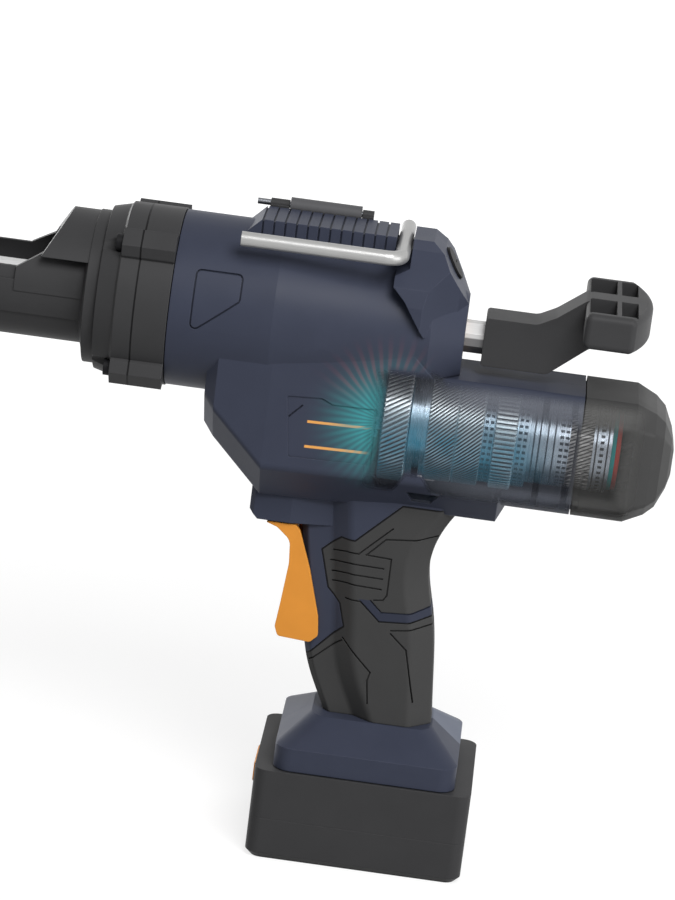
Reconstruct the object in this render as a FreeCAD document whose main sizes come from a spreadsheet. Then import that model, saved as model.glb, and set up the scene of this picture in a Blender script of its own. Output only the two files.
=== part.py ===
import FreeCAD, Part
import math
import os
import re
import Sketcher
from FreeCAD import Placement, Rotation, Vector

# Driving sizes in mm. x runs rearward from the collar's rear face, drops are measured below the rod axis.
SIZES = {
    # place of the rod axis over the base
    "axis_height": 250,
    "foot_centre": 112,
    # walls and clearances
    "wall": 2.8,
    "fit_gap": 0.1,
    "run_gap": 0.35,
    "pin_gap": 0.05,
    # barrel and gearbox housing
    "barrel_radius": 39.8,
    "barrel_straight": 46,
    "barrel_taper_end": 110,
    "barrel_rear_radius": 31.5,
    "barrel_cone": 116,
    "barrel_end_radius": 19,
    "block_back": 131,
    "gearbox_front": 19.3,
    "gearbox_half": 36.5,
    "gearbox_depth": 81.5,
    "gearbox_bevel": 18,
    "nose_depth": 52.5,
    "nose_bevel": 5,
    "skirt_back": 155.6,
    "skirt_slant": 4.4,
    # motor tube and end cap
    "motor_drop": 43.7,
    "tube_half": 31,
    "tube_rise": 27.7,
    "tube_flat": 19,
    "tube_side": 19.5,
    "tube_wall": 2.2,
    "tube_front": 118,
    "tube_back": 188,
    "cap_seam": 0.6,
    "cap_shoulder": 212,
    "cap_back": 231,
    "cap_wall": 2.6,
    # ribbed tower, rear block and dial
    "tower_front": 35,
    "tower_back": 95.3,
    "tower_top": 44,
    "tower_half": 13.5,
    "rib_count": 12,
    "rib_groove": 0.8,
    "block_front": 103,
    "block_half": 34.5,
    "block_crest": 12,
    "dial_radius": 7.5,
    "dial_height": 4.2,
    # trigger, grip and foot
    "trigger_half": 13.5,
    "trigger_wall": 2.3,
    "trigger_pivot": 63,
    "trigger_pivot_drop": 88,
    "trigger_travel": 7,
    "trigger_block_drop": 94.5,
    "trigger_block_half": 15,
    "grip_half": 17,
    "stem_half": 10.5,
    "skin": 1.8,
    "groove": 0.7,
    "badge_depth": 0.7,
    "foot_drop": 206,
    "foot_half": 36,
    "foot_length": 84,
    # battery
    "pack_length": 100,
    "pack_half": 37.5,
    "rail_half": 28,
    "rail_neck": 24,
    "cell_radius": 9.1,
    "cell_length": 65,
    "cell_count": 5,
    # collar and cradle
    "collar_radius": 40.3,
    "collar_split": 15.5,
    "flange_front": 25,
    "boss_reach": 46.3,
    "screw_radius": 2,
    "spigot_front": 9.5,
    "spigot_radius": 33,
    "swivel_radius": 36,
    "cartridge_bore": 24.9,
    "trough_bore": 24.7,
    "trough_wall": 1.8,
    "trough_rim": 10.4,
    "trough_length": 270,
    "front_wall": 4,
    "nozzle_slot": 11,
    # rod, plunger and handle
    "rod_radius": 7.5,
    "rod_front": 246,
    "rod_back": 156,
    "plunger_radius": 24,
    "handle_front": 139.5,
    "handle_half": 10,
    "bar_half": 36,
    # hook and release lever
    "hook_radius": 3.3,
    "hook_half": 34,
    "hook_end": 30,
    "hook_rise": 39.1,
    "hook_front": 28,
    "hook_bar": 99,
    "hook_bend": 7,
    "lever_radius": 3.6,
    "lever_offset": 17.8,
    "lever_rise": 44.8,
    # rack drive
    "rack_module": 1.5,
    "rack_teeth": 54,
    "rack_drop": 5.5,
    "pinion_teeth": 12,
    "lay_module": 1.25,
    "lay_teeth": 18,
    "wheel_teeth": 36,
    "shaft_radius": 4,
    "bevel_apex": 86,
    "bevel_teeth": 24,
    "bevel_radius": 16,
    "bevel_inner": 12.8,
    "drum_front": 99.6,
    "drum_web": 104,
    "drum_radius": 26,
    # planetary gearbox and motor
    "stage_module": 0.75,
    "sun_teeth": 12,
    "planet_teeth": 18,
    "ring_teeth": 48,
    "ring_radius": 23.5,
    "ring_rib": 1.3,
    "planet_pin": 2,
    "output_radius": 5,
    "plate_front": 112,
    "bearing_front": 120,
    "stage_two": 133,
    "spacer_front": 145,
    "stage_one": 150,
    "mount_front": 160,
    "motor_front": 166,
    "motor_radius": 20,
    "stack_front": 184,
    "stack_back": 194.5,
    "motor_back": 203,
    "motor_shaft": 2.5,
    "fan_radius": 17,
}

# Grip stations from the brow down to the root: drop, front edge and back edge.
STATIONS = {
    "brow": (77, 66, 142),
    "neck": (97, 69, 130.8),
    "waist": (111, 71, 129),
    "palm": (132, 74.2, 133.1),
    "heel": (150, 76, 136),
    "taper": (180, 87, 138.8),
    "root": (190, 91, 139.9),
}
for station, values in STATIONS.items():
    for what, value in zip(("drop", "front", "back"), values):
        SIZES[f"{station}_{what}"] = value

doc = FreeCAD.newDocument("CaulkingTool")
sheet = doc.addObject("Spreadsheet::Sheet", "Sizes")
for row, (alias, value) in enumerate(SIZES.items(), 1):
    sheet.set(f"A{row}", alias)
    sheet.set(f"B{row}", str(value))
    sheet.setAlias(f"B{row}", alias)
doc.recompute()

PARTS = []
WORD = re.compile(r"[a-z][a-z_0-9]*")
ORIGIN = ("-foot_centre", "0", "axis_height")
TURNS = {
    "x": Rotation(Vector(0, 1, 0), 90),
    "y": Rotation(Vector(1, 0, 0), -90),
    "z": Rotation(),
}

# Proportions of the straight-flanked teeth, in modules
PRESSURE = math.tan(math.radians(20))
TIP = 0.8
ROOT = 1.15
BACKLASH = 0.12
RACK_BEHIND = 4


class Reader:
    """Sizes read back from the sheet as plain numbers."""

    def __getattr__(self, alias):
        return float(sheet.get(alias))


S = Reader()


# Document helpers

def bound(text):
    """Expression text with each size name pointed at the sheet."""
    return WORD.sub(lambda word: "Sizes." + word.group() if word.group() in SIZES else word.group(), text)


def seat(obj, at=("0", "0", "0"), turn=None):
    """Place an object at a point given from the rod axis."""
    if turn is not None:
        obj.Placement = Placement(Vector(), turn)
    for letter, start, offset in zip("xyz", ORIGIN, at):
        obj.setExpression("Placement.Base." + letter, bound(f"{start} + ({offset})"))
    return obj


def node(obj, label):
    """Keep an object as a sub-part under its own name."""
    obj.Label = label
    PARTS.append(obj)
    return obj


def feature(label, shape):
    """Sub-part made from a shape worked out below."""
    obj = doc.addObject("Part::Feature", label)
    obj.Shape = Part.makeCompound(shape.Solids)
    return node(seat(obj), label)


def cylinder(name, radius, height, at, axis="x"):
    obj = doc.addObject("Part::Cylinder", name)
    obj.setExpression("Radius", bound(radius))
    obj.setExpression("Height", bound(height))
    return seat(obj, at, TURNS[axis])


def box(name, length, width, height, at):
    obj = doc.addObject("Part::Box", name)
    for side_name, text in zip(("Length", "Width", "Height"), (length, width, height)):
        obj.setExpression(side_name, bound(text))
    return seat(obj, at)


def fuse(name, shapes):
    obj = doc.addObject("Part::MultiFuse", name)
    obj.Shapes = shapes
    return obj


def cut(name, base, tool):
    obj = doc.addObject("Part::Cut", name)
    obj.Base = base
    obj.Tool = tool
    return obj


def ring(name, outer, inner, start, length, drop="0", axis="x", offset="0"):
    """Plain ring on an axis along x or y."""
    if axis == "x":
        at, hole_at = (start, offset, f"-({drop})"), (f"{start} - 1", offset, f"-({drop})")
    else:
        at, hole_at = (offset, start, f"-({drop})"), (offset, f"{start} - 1", f"-({drop})")
    disc = cylinder(name + "_disc", outer, length, at, axis)
    hole = cylinder(name + "_hole", inner, f"{length} + 2", hole_at, axis)
    return cut(name, disc, hole)


def set_of(label, pieces):
    """Several loose pieces of one kind kept as one sub-part."""
    obj = doc.addObject("Part::Compound", label)
    obj.Links = pieces
    return node(obj, label)


def pad_body(label, plane, outline, length, at, hole=None):
    """Body padded from a polygon sketch, with a round hole where one is given."""
    body = doc.addObject("PartDesign::Body", label)
    sketch = body.newObject("Sketcher::SketchObject", label + "_sketch")
    support = next(item for item in body.Origin.OriginFeatures if item.Role == plane)
    sketch.AttachmentSupport = (support, [""])
    sketch.MapMode = "FlatFace"
    for first, last in zip(outline, outline[1:] + outline[:1]):
        sketch.addGeometry(Part.LineSegment(Vector(*first, 0), Vector(*last, 0)), False)
    if hole:
        round_hole = Part.Circle(Vector(), Vector(0, 0, 1), float(sheet.evalExpression(bound(hole))))
        index = sketch.addGeometry(round_hole, False)
        rule = sketch.addConstraint(Sketcher.Constraint("Radius", index, round_hole.Radius))
        sketch.setExpression(f"Constraints[{rule}]", bound(hole))
    pad = body.newObject("PartDesign::Pad", label + "_pad")
    pad.Profile = sketch
    pad.setExpression("Length", bound(length))
    return node(seat(body, at), label)


# Shape helpers

def rounded(points, radius):
    """Closed wire through the points with every corner rounded; radius is one value or one per point."""
    radii = radius if isinstance(radius, list) else [radius] * len(points)
    corners = []
    for k, corner in enumerate(points):
        to_last = (points[k - 1] - corner).normalize()
        to_next = (points[(k + 1) % len(points)] - corner).normalize()
        half = to_last.getAngle(to_next) / 2
        reach = radii[k] / math.tan(half)
        centre = corner + (to_last + to_next).normalize() * (radii[k] / math.sin(half))
        middle = centre + (corner - centre).normalize() * radii[k]
        corners.append((corner + to_last * reach, middle, corner + to_next * reach))
    edges = []
    for k, (first, middle, last) in enumerate(corners):
        edges.append(Part.Arc(first, middle, last).toShape())
        edges.append(Part.makeLine(last, corners[(k + 1) % len(corners)][0]))
    return Part.Wire(edges)


def polygon(points):
    return Part.makePolygon(points + points[:1])


def side(points, half, radius=0, low=None):
    """Prism of an (x, z) outline, from low to half across the tool."""
    start = -half if low is None else low
    vectors = [Vector(x, start, z) for x, z in points]
    wire = rounded(vectors, radius) if radius else polygon(vectors)
    return Part.Face(wire).extrude(Vector(0, half - start, 0))


def plan(points, low, high, radius=0):
    """Prism of an (x, y) outline between two heights."""
    vectors = [Vector(x, y, low) for x, y in points]
    wire = rounded(vectors, radius) if radius else polygon(vectors)
    return Part.Face(wire).extrude(Vector(0, 0, high - low))


def across(points, start, end, radius=0):
    """Prism of a (y, z) outline along the tool."""
    vectors = [Vector(start, y, z) for y, z in points]
    wire = rounded(vectors, radius) if radius else polygon(vectors)
    return Part.Face(wire).extrude(Vector(end - start, 0, 0))


def turned(profile, drop=0):
    """Solid of an (x, radius) outline turned about an axis along x."""
    face = Part.Face(polygon([Vector(x, 0, radius - drop) for x, radius in profile]))
    return face.revolve(Vector(0, 0, -drop), Vector(1, 0, 0), 360)


def rod_x(radius, start, end, y=0, z=0):
    return Part.makeCylinder(radius, end - start, Vector(start, y, z), Vector(1, 0, 0))


def rod_y(radius, start, end, x, z):
    return Part.makeCylinder(radius, end - start, Vector(x, start, z), Vector(0, 1, 0))


def block(x, y, z):
    """Box between pairs of limits."""
    return Part.makeBox(x[1] - x[0], y[1] - y[0], z[1] - z[0], Vector(x[0], y[0], z[0]))


def mirrored(points):
    """Outline of (y, z) or (x, y) points completed across the middle plane."""
    return points + [(-y, z) for y, z in reversed(points)]


def loop(points, radius, width, start, end):
    """Thin closed wall along an (x, z) outline, between two places across the tool."""
    outer = rounded([Vector(x, start, z) for x, z in points], radius)
    inner = outer.makeOffset2D(-width)
    return Part.makeFace([outer, inner], "Part::FaceMakerBullseye").extrude(Vector(0, end - start, 0))


def tube_section(x, inset, shrink=0):
    """Eight-sided section of the motor tube; shrink draws it in toward the motor axis."""
    half = S.tube_half - inset - shrink
    rise = S.tube_rise - inset - shrink
    flat = S.tube_flat - 0.35 * inset - 0.5 * shrink
    upright = S.tube_side - 0.53 * inset - 0.66 * shrink
    points = mirrored([(flat, rise), (half, upright), (half, -upright), (flat, -rise)])
    return rounded([Vector(x, y, z - S.motor_drop) for y, z in points], max(0.4, 3 - 0.13 * shrink))


def tube_length(inset, start, end):
    """Straight length of the motor tube's section."""
    return Part.Face(tube_section(start, inset)).extrude(Vector(end - start, 0, 0))


# Housing forms; inset shrinks each one for the hollow inside

def barrel(inset):
    front = inset
    back = S.block_back - 3 * inset
    steepness = (S.barrel_rear_radius - S.barrel_end_radius) / (S.block_back - S.barrel_cone)
    end_radius = S.barrel_rear_radius - steepness * (back - S.barrel_cone)
    return turned([
        (front, 0),
        (front, S.barrel_radius - inset),
        (S.barrel_straight, S.barrel_radius - inset),
        (S.barrel_taper_end, S.barrel_rear_radius - inset),
        (S.barrel_cone, S.barrel_rear_radius - inset),
        (back, end_radius - inset),
        (back, 0),
    ])


def gearbox_section(x, half, top, depth, bevel):
    points = mirrored([(half, top), (half, bevel - depth), (half - bevel, -depth)])
    order = [Vector(x, y, z) for y, z in points]
    return rounded(order, [0.5, 5, 3, 3, 5, 0.5])


def gearbox(inset):
    half = S.gearbox_half - inset
    depth = S.gearbox_depth - inset
    front = S.gearbox_front + inset
    shelf = S.nose_depth - inset
    top = S.barrel_radius * -0.3
    saddle = 0.35 * top - 1.5 * inset
    shoulder = S.tube_side - S.motor_drop - 0.3 - 1.5 * inset
    rear_half = S.tube_half - 0.1 - inset
    tube_bottom = S.motor_drop + S.tube_rise - inset
    bevel = S.gearbox_bevel - inset * (2 - math.sqrt(2))
    sections = [
        gearbox_section(front, half - S.nose_bevel, top, shelf, bevel),
        gearbox_section(front + S.nose_bevel, half, top, shelf + S.nose_bevel, bevel),
        gearbox_section(front + depth - shelf, half, top, depth, bevel),
        gearbox_section(S.barrel_taper_end, S.barrel_rear_radius - 0.3 - inset, saddle, depth, bevel),
        gearbox_section(S.block_back, rear_half, shoulder, depth, bevel),
        gearbox_section(S.skirt_back - inset, rear_half, shoulder, depth, bevel),
        gearbox_section(S.skirt_back + S.skirt_slant - inset, rear_half, shoulder, tube_bottom, bevel),
    ]
    return Part.makeLoft(sections, True, True)


def motor_tube(inset):
    return tube_length(inset, S.tube_front, S.tube_back)


def tower():
    foot = S.barrel_radius - 9
    shell = side([
        (S.tower_front - 7, foot),
        (S.tower_front - 7, S.tower_top - 7),
        (S.tower_front, S.tower_top),
        (S.tower_back, S.tower_top),
        (S.tower_back, foot),
    ], S.tower_half)
    pitch = (S.tower_back - S.tower_front) / S.rib_count
    deep = S.rib_groove
    for k in range(int(S.rib_count)):
        x = S.tower_front + k * pitch
        bar = block((x, x + deep), (-S.tower_half, S.tower_half), (foot, S.tower_top))
        core = block((x - 1, x + 2), (deep - S.tower_half, S.tower_half - deep), (foot, S.tower_top - deep))
        shell = shell.cut(bar.cut(core))
    return shell


def slope():
    """Start and end of the sloped rear face of the upper block."""
    return Vector(S.block_back - 13.5, 0, S.tower_top - 4.5), Vector(S.block_back, 0, S.tower_top - 27)


def rear_block():
    high, low = slope()
    back = S.block_back
    profile = side([
        (S.block_front, S.tower_top),
        (high.x - 5.5, S.tower_top),
        (high.x, high.z),
        (low.x, low.z),
        (back, -9),
        (back - 13.5, 6),
        (back - 18, 4.5),
        (S.block_front, 20),
        (S.block_front - 6, 26),
        (S.block_front - 6, 30),
        (S.block_front, 33),
    ], S.block_half + 1)
    crest = S.block_crest
    front_view = across(mirrored([
        (crest, S.tower_top + 1),
        (crest + 4, S.tower_top - 4),
        (S.block_half - 2, 26),
        (S.block_half, 18),
        (S.block_half, -12),
    ]), S.block_front - 8, back + 1)
    plan_view = plan(mirrored_x([
        (S.block_front - 8, S.block_half + 2),
        (back - 20, S.block_half + 2),
        (back - 20, S.block_half),
        (back - 4.5, S.block_half / 2),
        (back, S.block_half / 2 - 8),
    ]), -20, 60)
    return profile.common(front_view).common(plan_view)


def grip_section(station, inset):
    front = getattr(S, station + "_front") + inset
    back = getattr(S, station + "_back") - inset
    stem = S.stem_half - inset
    half = S.grip_half - inset
    points = mirrored_x([
        (front, stem - 3.5),
        (front + 3, stem),
        (front + 14, stem),
        (front + 23, half),
        (back - 10, half),
        (back, half - 10),
    ])
    radii = [1, 1.5, 4, 6, 4, 3]
    drop = getattr(S, station + "_drop")
    return rounded([Vector(x, y, -drop) for x, y in points], radii + radii[::-1])


def mirrored_x(points):
    """Outline of (x, y) points completed across the middle plane."""
    return points + [(x, -y) for x, y in reversed(points)]


def grip(inset):
    return Part.makeLoft([grip_section(station, inset) for station in STATIONS], True, False)


def trigger_block(inset):
    drop = S.trigger_block_drop - inset
    front = S.trigger_pivot - 18.5 + inset
    back = front + 41 - 2 * inset
    half = S.trigger_block_half - inset
    profile = side([(front, -70), (front, 4 - drop), (front + 4, -drop), (back, -drop), (back, -70)], half)
    taper = plan(mirrored_x([
        (front, half - 2),
        (front + 2, half),
        (front + 19, half),
        (back, S.stem_half - 0.3 - inset),
    ]), -drop - 1, -69)
    return profile.common(taper)


def foot_wire(length, half, drop, corner):
    start = S.foot_centre - length / 2
    points = [(start, -half), (start + length, -half), (start + length, half), (start, half)]
    return rounded([Vector(x, y, -drop) for x, y in points], corner)


def foot():
    top = S.root_drop - 6
    return Part.makeLoft([
        foot_wire(S.foot_length - 28, S.grip_half + 1, top, 8),
        foot_wire(S.foot_length, S.foot_half, top + 11, 8),
        foot_wire(S.foot_length, S.foot_half, S.foot_drop, 8),
    ], True, True)


# Grip overmould

SKIN_EDGE = [
    (150, -78.4), (113.5, -78.4), (94, -97.7), (87.5, -97.7), (79, -106), (84, -124), (90.3, -130.3),
    (93.3, -140.5), (78.5, -156.8), (70, -162),
]


def skin_zone():
    """Side outline of the soft overmould."""
    low = 6 - S.root_drop
    return side(SKIN_EDGE + [(70, low), (150, low)], S.grip_half + 5)


def strip(points, width, half):
    """Thin wall standing on a line of (x, z) points, used to cut grooves."""
    walls = []
    for first, last in zip(points, points[1:]):
        a = Vector(first[0], 0, first[1])
        run = Vector(last[0], 0, last[1]) - a
        wall = Part.makeBox(run.Length + width, 2 * half, width, Vector(-width / 2, -half, -width / 2))
        wall.Placement = Placement(a, Rotation(Vector(1, 0, 0), run))
        walls.append(wall)
    return walls[0].fuse(walls[1:]) if len(walls) > 1 else walls[0]


GRIP_LINES = [
    # three cross lines below the thumb
    [(84, -110.6), (93, -109.2), (108.5, -109.5)],
    [(85.3, -115.6), (93, -114.2), (108.5, -114.5)],
    [(86, -120.2), (93, -119), (108.5, -119.5)],
    # panel round them
    [(84.8, -105.4), (91, -104), (96.5, -104), (110.5, -90)],
    [(100, -104), (108, -95.5), (122.5, -94), (131, -93.2)],
    [(100, -104), (111.5, -104.5), (111.5, -122), (110, -124.5), (106, -125)],
    # band across the palm
    [(104.5, -125.5), (110, -130.5), (124.5, -129.5), (132.5, -127.4)],
    [(93, -126.5), (100, -126.5), (109.5, -135), (123, -134), (133.5, -131.9)],
    # long panel down to the root
    [(115.5, -138.5), (126, -137), (134, -135.8)],
    [(115.5, -140), (123.5, -147), (129.5, -172)],
    [(94, -146), (108.5, -160), (107.5, -164), (109, -175)],
    [(80, -160), (93.5, -147.5)],
]


def overmould_blank():
    """The overmould before its grooves."""
    return grip(0).cut(grip(S.skin)).common(skin_zone())


def grip_grooves():
    """Lines cut into the overmould's face."""
    face = grip(0).cut(grip(S.groove))
    lines = [strip(points, S.groove, S.grip_half + 5) for points in GRIP_LINES]
    return face.common(lines[0].fuse(lines[1:]))


# Housing halves

def hook_saddle():
    """Bridge between the tower and the rear block that carries the hook's cross bar."""
    half = S.tower_half - 1.5
    return block((S.tower_back - 1, S.block_front + 1), (-half, half), (S.barrel_rear_radius - 5, S.hook_rise))


def housing_solid():
    """The housing as if it were filled."""
    return barrel(0).fuse([
        gearbox(0), motor_tube(0), tower(), rear_block(), grip(0), trigger_block(0), foot(),
        rod_x(S.spigot_radius, -S.spigot_front, 1), hook_saddle(),
    ])


def housing_hollow():
    """The room inside the housing."""
    return barrel(S.wall).fuse([
        gearbox(S.wall), motor_tube(S.tube_wall), grip(S.wall + S.skin), trigger_block(S.wall),
    ])


def gear_shafts():
    """Places of the layshaft and of the pinion shaft as (x, z)."""
    lay = (S.bevel_apex, -S.motor_drop)
    pinion_drop = S.rack_drop + S.rack_module * S.pinion_teeth / 2
    reach = S.lay_module * (S.lay_teeth + S.wheel_teeth) / 2
    rise = S.motor_drop - pinion_drop
    return lay, (lay[0] - math.sqrt(reach ** 2 - rise ** 2), -pinion_drop)


SHAFT_ENDS = {"lay": (-22, 29), "pinion": (-22, 15)}


def bearing_bosses():
    """Bosses that carry both cross shafts, with their bores."""
    bosses, bores = [], []
    for place, ends in zip(gear_shafts(), SHAFT_ENDS.values()):
        bore = S.shaft_radius + 2 + S.fit_gap
        for end, wall_side in zip(ends, (-1, 1)):
            inner_end = end - wall_side * 5
            outer_end = wall_side * S.gearbox_half
            low, high = sorted((inner_end, outer_end))
            bosses.append(rod_y(S.shaft_radius + 5, low, high, *place))
            low, high = sorted((inner_end - wall_side, end))
            bores.append(rod_y(bore, low, high, *place))
    return bosses, bores


def motor_ribs():
    """Cross ribs of the motor tube that hold the gearbox plate and the motor."""
    ribs = []
    for x, radius in ((S.plate_front + 3, S.ring_radius), (S.motor_front + 4, S.motor_radius),
                      (S.tube_back - 5, S.motor_radius)):
        plate = tube_length(0.5, x, x + 3)
        ribs.append(plate.cut(rod_x(radius + S.fit_gap, x - 1, x + 4, 0, -S.motor_drop)))
    return ribs


def dial_place():
    """Centre of the dial on the rear slope, and the slope's outward normal."""
    high, low = slope()
    run = (low - high).normalize()
    return high + run * (S.dial_radius + 0.8), Vector(-run.z, 0, run.x)


def on_slope(radius, start, end):
    """Round bar normal to the slope, from start to end along the outward normal."""
    centre, normal = dial_place()
    return Part.makeCylinder(radius, end - start, centre + normal * start, normal)


def panel_line():
    """Four-sided panel line on the barrel's left side."""
    line = loop([(9.7, 22.6), (31, 22.6), (31, 11.2), (9.7, -6)], 2.5, S.groove, -60, -5)
    skin_ring = rod_x(S.barrel_radius + 1, 2, 40).cut(rod_x(S.barrel_radius - S.groove, 1, 41))
    return line.common(skin_ring)


def badge_recess():
    """Shallow field on the left gearbox face with a short slanting line at its corner."""
    field = side([(56.5, -29), (72, -28.4), (77, -30.8), (97, -31), (97, -57), (60, -57)], -5, 0.8, -60)
    near = block((50, 100), (-60, -5), (-60, -25))
    line = strip([(58.3, -38.4), (63.5, -33)], S.groove, 60).common(near)
    skin_layer = gearbox(0).cut(gearbox(S.badge_depth))
    line_layer = gearbox(0).cut(gearbox(2 * S.badge_depth))
    return skin_layer.common(field).fuse(line_layer.common(line))


def housing_openings():
    """Everything cut out of the housing shell."""
    rise = S.hook_rise
    hook_hole = S.hook_radius + S.fit_gap
    pivot = (S.trigger_pivot, -S.trigger_pivot_drop)
    drop = S.trigger_block_drop
    base = S.foot_drop
    foot_front = S.foot_centre - S.foot_length / 2 - 1
    rail_back = S.foot_centre + S.foot_length / 2 - 5
    slack = S.run_gap
    return [
        # rod passages with the seats of the bushes
        rod_x(S.rod_radius + 3 + S.fit_gap, -20, S.block_back + 2),
        # hook groove with a snap mouth
        rod_y(hook_hole, -60, 60, S.hook_bar, rise),
        block((S.hook_bar - S.hook_radius * 0.9, S.hook_bar + S.hook_radius * 0.9), (-60, 60), (rise, 60)),
        # trigger slot, pin hole and plunger hole
        block((pivot[0] - 8, pivot[0] + 6.5), (-5.5, 5.5), (-drop - 2, pivot[1] + 7)),
        rod_y(2 + S.fit_gap, -14.1, 14.1, *pivot),
        rod_x(3 + S.run_gap, 60, 96, 0, -116),
        # vent in the left and right bevel
        side([(114, -69.1), (129.4, -69.1), (125.4, -75), (117, -75)], 60),
        # dial recess, its spindle hole and the pocket of the potentiometer
        on_slope(S.dial_radius + S.run_gap, -3.3, 20),
        on_slope(3 + S.run_gap, -6, 1),
        on_slope(6 + S.fit_gap, -14, -4.8),
        # panel line and badge field
        panel_line(),
        badge_recess(),
        # battery rails, open toward the nose
        block((foot_front, rail_back), (-S.rail_neck - slack, S.rail_neck + slack), (-base - 1, 2.6 - base)),
        block((foot_front, rail_back), (-S.rail_half - slack, S.rail_half + slack), (2.6 - base, 6.4 - base)),
    ]


def screw_places():
    """Places (x, z) of the housing screws."""
    return [(8, -30), (36, -60), (96, -75.5), (118, -150), (112, 4 - S.root_drop)]


def housing():
    bosses, bores = bearing_bosses()
    solid = housing_solid()
    posts, holes = [], []
    for x, z in screw_places():
        posts += [rod_y(3.6, -60, 0, x, z), rod_y(4.8, 0, 60, x, z)]
        holes += [rod_y(1.6, -9.2, 13, x, z), rod_y(3.2, 12, 60, x, z)]
    inside = bosses[0].fuse(bosses[1:] + motor_ribs() + posts).common(solid)
    shell = solid.cut(housing_hollow()).fuse(inside)
    return shell.cut(bores + holes + housing_openings() + [overmould_blank()])


left_side = block((-60, 300), (-100, 0), (-300, 100))
right_side = block((-60, 300), (0, 100), (-300, 100))
housing_shape = housing()
feature("housing_left", housing_shape.common(left_side))
feature("housing_right", housing_shape.common(right_side))
driver_holes = [rod_y(3.2, 12, 60, x, z) for x, z in screw_places()]
soft_shape = overmould_blank().cut([grip_grooves()] + driver_holes)
feature("grip_overmould_left", soft_shape.common(left_side))
feature("grip_overmould_right", soft_shape.common(right_side))

# Collar, swivel flange and cradle

def bosses_around(start, end):
    """Four screw bosses spaced round the collar."""
    reach = S.boss_reach
    lug = across(mirrored([(7, reach - 14), (7, reach - 5), (4.5, reach)]), start, end)
    return [lug.rotated(Vector(), Vector(1, 0, 0), 45 + 90 * k) for k in range(4)]


def around(shape):
    """Four copies at the bosses of a shape drawn over the rod axis."""
    return [shape.rotated(Vector(), Vector(1, 0, 0), 45 + 90 * k) for k in range(4)]


def collar_ring():
    split = -S.collar_split
    back = -S.run_gap
    neck = -S.spigot_front + S.run_gap
    body = turned([
        (split, S.swivel_radius + S.run_gap),
        (split, S.collar_radius),
        (back, S.collar_radius),
        (back, S.spigot_radius + S.run_gap),
        (neck, S.spigot_radius + S.run_gap),
        (neck, S.swivel_radius + S.run_gap),
    ])
    bosses = bosses_around(split, back)
    keep_out = rod_x(S.swivel_radius + S.run_gap, split - 1, 1)
    lugs = bosses[0].fuse(bosses[1:]).cut(keep_out)
    holes = around(rod_x(S.screw_radius + S.pin_gap, split - 1, -3, 0, S.boss_reach - 5.5))
    return body.fuse(lugs).cut(holes)


def cradle():
    split = -S.collar_split
    front = -S.flange_front
    bore = S.cartridge_bore
    radius = S.collar_radius
    tail = front - 16
    neck = turned([
        (split, bore), (split, radius), (front + 1, radius), (front, radius - 1.2),
        (front - 8, radius - 3.2), (front - 8.2, radius - 5.5), (front - 13.5, radius - 5.5),
        (front - 14.5, radius - 10), (tail, bore + 1), (tail, bore),
    ])
    bosses = bosses_around(split, front + 1)
    rim = S.trough_rim
    hood_top = radius - 6
    hood = rod_x(hood_top, front - 45, front - 8).common(side([
        (front - 8, 17.5), (front - 35, 17.5), (front - 25, hood_top + 1), (front - 8, hood_top + 1),
    ], 60))
    sleeve = rod_x(S.trough_bore + S.trough_wall + 1.2, front - 48, front - 8).common(side([
        (front - 8, 0), (front - 46, 0), (front - 46, rim), (front - 34, 18), (front - 8, 18),
    ], 60))
    outer = S.trough_bore + S.trough_wall
    length = -S.trough_length
    trough = rod_x(outer, length, front - 10).common(block((length - 1, 0), (-60, 60), (-60, rim)))
    rail = rod_x(outer + 0.8, length + 12, front - 10)
    rail = rail.common(block((length, 0), (-60, 60), (-10.5, 5)))
    hollow = rod_x(S.trough_bore, length + S.front_wall, split + 1)
    slot = rod_x(S.nozzle_slot, length - 1, length + S.front_wall + 1)
    mouth = block((length - 1, length + S.front_wall + 1), (-S.nozzle_slot, S.nozzle_slot), (0, 60))
    holes = around(rod_x(S.screw_radius + S.pin_gap, front - 4, split + 1, 0, S.boss_reach - 5.5))
    heads = around(rod_x(S.screw_radius * 2 + S.run_gap, front - 14, front + 1, 0, S.boss_reach - 5.5))
    body = neck.fuse(bosses + [hood, sleeve, trough, rail])
    return body.cut([hollow, slot, mouth] + holes + heads)


def screw(length, radius, at, direction):
    """Round-headed screw with its head behind the given point."""
    head = Part.makeCylinder(radius * 1.9, radius * 1.5, at - direction * radius * 1.5, direction)
    socket = Part.makeCylinder(radius * 0.8, radius, at - direction * radius * 1.5, direction)
    shank = Part.makeCylinder(radius, length, at, direction)
    return head.cut(socket).fuse(shank)


def collar_screws():
    at = Vector(1 - S.flange_front, 0, S.boss_reach - 5.5)
    one = screw(S.flange_front - 4.5, S.screw_radius, at, Vector(1, 0, 0))
    return Part.makeCompound(around(one))


feature("collar_ring", collar_ring())
feature("cartridge_cradle", cradle())
feature("collar_screws", collar_screws())
node(ring("swivel_flange", "swivel_radius", "cartridge_bore", "run_gap - collar_split",
          "collar_split - spigot_front - run_gap"), "swivel_flange")


# Push rod, plunger and pull handle

def tooth_half(module, rise):
    """Half thickness of a straight-flanked tooth at a height over its pitch line."""
    return module * (math.pi / 4 - BACKLASH) - rise * PRESSURE


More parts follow.
